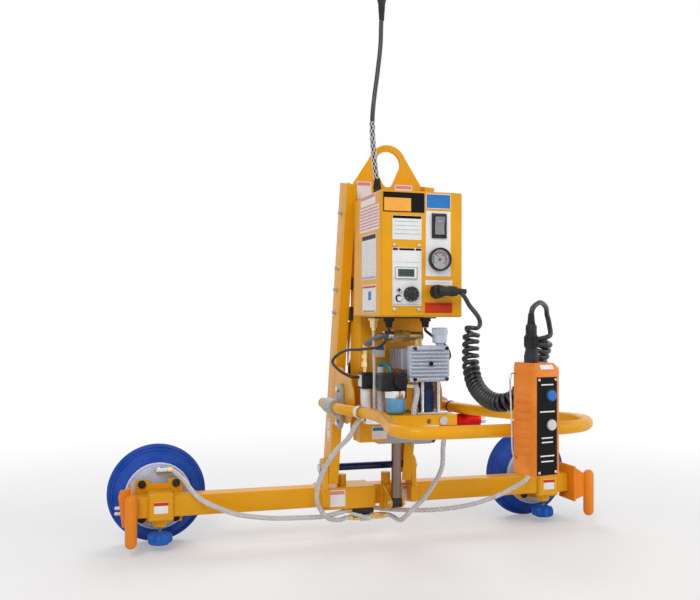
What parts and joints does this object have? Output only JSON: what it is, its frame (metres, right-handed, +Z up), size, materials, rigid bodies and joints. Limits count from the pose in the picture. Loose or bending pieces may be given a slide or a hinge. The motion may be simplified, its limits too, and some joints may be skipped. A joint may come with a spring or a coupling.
{
  "type": "tilting vacuum lifter",
  "caption": "Hoist-hung tilting vacuum lifter: a frame with handle, pump and control box over a crossarm whose pads slide, turned by a linear actuator.",
  "frame": {"origin": "centre of the lifting eye's upper arc", "axes": "+Z up, +X along the crossarm to the right of the control box, +Y the way the pads face"},
  "size_m": [1.324, 0.8853, 1.3903],
  "materials": {
    "yellow_enamel": "gloss enamel",
    "orange_enamel": "gloss enamel",
    "orange_plastic": "moulded",
    "cast_grey": "as cast",
    "navy_steel": "satin",
    "black_plastic": "satin",
    "grey_plastic": "satin",
    "bright_steel": "zinc",
    "pump_aluminium": "as cast",
    "brass": "machined",
    "blue_bowl": "clear tint",
    "red_anodised": "anodised",
    "pad_rubber": "moulded",
    "pad_plate_grey": "satin",
    "knob_blue": "moulded",
    "button_blue": "moulded",
    "button_white": "moulded",
    "clear_hose": "translucent",
    "cord_black": "matte"
  },
  "bodies": {
    "frame": {"left_leg": "yellow_enamel", "right_leg": "yellow_enamel", "lifting_bail": "yellow_enamel", "trunk": "yellow_enamel", "pump_shelf": "yellow_enamel", "handle_clamp_left": "cast_grey", "handle_clamp_right": "cast_grey", "handlebar": "yellow_enamel", "pivot_shaft": "navy_steel", "control_box": "yellow_enamel", "box_lid": "yellow_enamel", "gauge_body": "black_plastic", "box_fittings": "black_plastic", "pendant_plug": "black_plastic", "pump_base": "bright_steel", "pump_head": "pump_aluminium", "pump_motor": "pump_aluminium", "intake_filter": "pump_aluminium", "check_valve": "brass", "solenoid_valve": "black_plastic", "filter_head": "black_plastic", "filter_bowl": "blue_bowl", "air_silencer": "red_anodised", "reservoir": "bright_steel", "pendant_case": "orange_plastic", "pendant_connector": "black_plastic", "valve_hose_left": "clear_hose", "valve_hose_right": "clear_hose", "riser_hose": "clear_hose", "filter_hose": "clear_hose", "coil_cable": "cord_black", "motor_cable": "cord_black", "curly_cord": "cord_black", "cord_tail_box": "cord_black", "cord_tail_pendant": "cord_black", "supply_cord": "cord_black", "supply_plug": "black_plastic"},
    "crossarm": {"crossarm": "yellow_enamel", "ball_valve": "bright_steel", "end_handle_left": "orange_enamel", "end_handle_right": "orange_enamel", "pad_hose_left": "clear_hose", "pad_hose_right": "clear_hose"},
    "actuator": {"actuator_gearbox": "cast_grey", "actuator_motor": "cast_grey"},
    "rod": {"actuator_rod": "bright_steel"},
    "carrier_left": {"pad_left": "pad_rubber", "pad_plate_left": "pad_plate_grey", "pad_carrier_left": "yellow_enamel"},
    "carrier_right": {"pad_right": "pad_rubber", "pad_plate_right": "pad_plate_grey", "pad_carrier_right": "yellow_enamel"},
    "knob_left": {"clamp_knob_left": "knob_blue"},
    "knob_right": {"clamp_knob_right": "knob_blue"},
    "lever": {"valve_lever": "bright_steel"},
    "rocker": {"rocker_switch": "grey_plastic"},
    "needle": {"gauge_needle": "black_plastic"},
    "test_button": {"test_button": "bright_steel"},
    "up_button": {"up_button": "button_blue"},
    "down_button": {"down_button": "button_white"}
  },
  "joints": [
    {"name": "tilt", "type": "hinge", "parent": "frame", "child": "crossarm", "pos_m": [0, 0.142, -0.768], "axis": [1, 0, 0], "range_deg": [-90, 0], "deforming": ["valve_hose_left", "valve_hose_right"]},
    {"name": "actuator_swing", "type": "hinge", "parent": "frame", "child": "actuator", "pos_m": [0.058, 0.085, -0.425], "axis": [1, 0, 0], "range_deg": [-6.38, 0]},
    {"name": "actuator_stroke", "type": "slide", "parent": "actuator", "child": "rod", "axis": [0, 0, 1], "range_m": [0, 0.14422]},
    {"name": "pad_slide_left", "type": "slide", "parent": "crossarm", "child": "carrier_left", "axis": [1, 0, 0], "range_m": [-0.005, 0.25], "deforming": ["pad_hose_left"]},
    {"name": "pad_slide_right", "type": "slide", "parent": "crossarm", "child": "carrier_right", "axis": [-1, 0, 0], "range_m": [-0.005, 0.25], "deforming": ["pad_hose_right"]},
    {"name": "knob_turn_left", "type": "hinge", "parent": "carrier_left", "child": "knob_left", "pos_m": [-0.5325, 0.17, -0.937], "axis": [0, 0, 1], "range_deg": [0, 720]},
    {"name": "knob_turn_right", "type": "hinge", "parent": "carrier_right", "child": "knob_right", "pos_m": [0.5325, 0.17, -0.937], "axis": [0, 0, 1], "range_deg": [0, 720]},
    {"name": "valve_turn", "type": "hinge", "parent": "crossarm", "child": "lever", "pos_m": [-0.004, 0.132, -0.9], "axis": [0, 1, 0], "range_deg": [-90, 0]},
    {"name": "rocker_tilt", "type": "hinge", "parent": "frame", "child": "rocker", "pos_m": [0.0395, -0.2387, -0.174], "axis": [1, 0, 0], "range_deg": [-8, 0]},
    {"name": "gauge_turn", "type": "hinge", "parent": "frame", "child": "needle", "pos_m": [0.04, -0.2351, -0.249], "axis": [0, 1, 0], "range_deg": [-90, 170]},
    {"name": "test_push", "type": "slide", "parent": "frame", "child": "test_button", "axis": [0, 1, 0], "range_m": [0, 0.0016], "stiffness_N_per_m": 300},
    {"name": "up_push", "type": "slide", "parent": "frame", "child": "up_button", "axis": [-0.1736, 0.9848, 0], "range_m": [0, 0.003], "stiffness_N_per_m": 300},
    {"name": "down_push", "type": "slide", "parent": "frame", "child": "down_button", "axis": [-0.1736, 0.9848, 0], "range_m": [0, 0.003], "stiffness_N_per_m": 300}
  ],
  "couplings": [
    {"joint": "actuator_swing", "follows": "tilt", "ratio": 0.07093},
    {"joint": "actuator_stroke", "follows": "tilt", "m_per_rad": -0.09181}
  ]
}
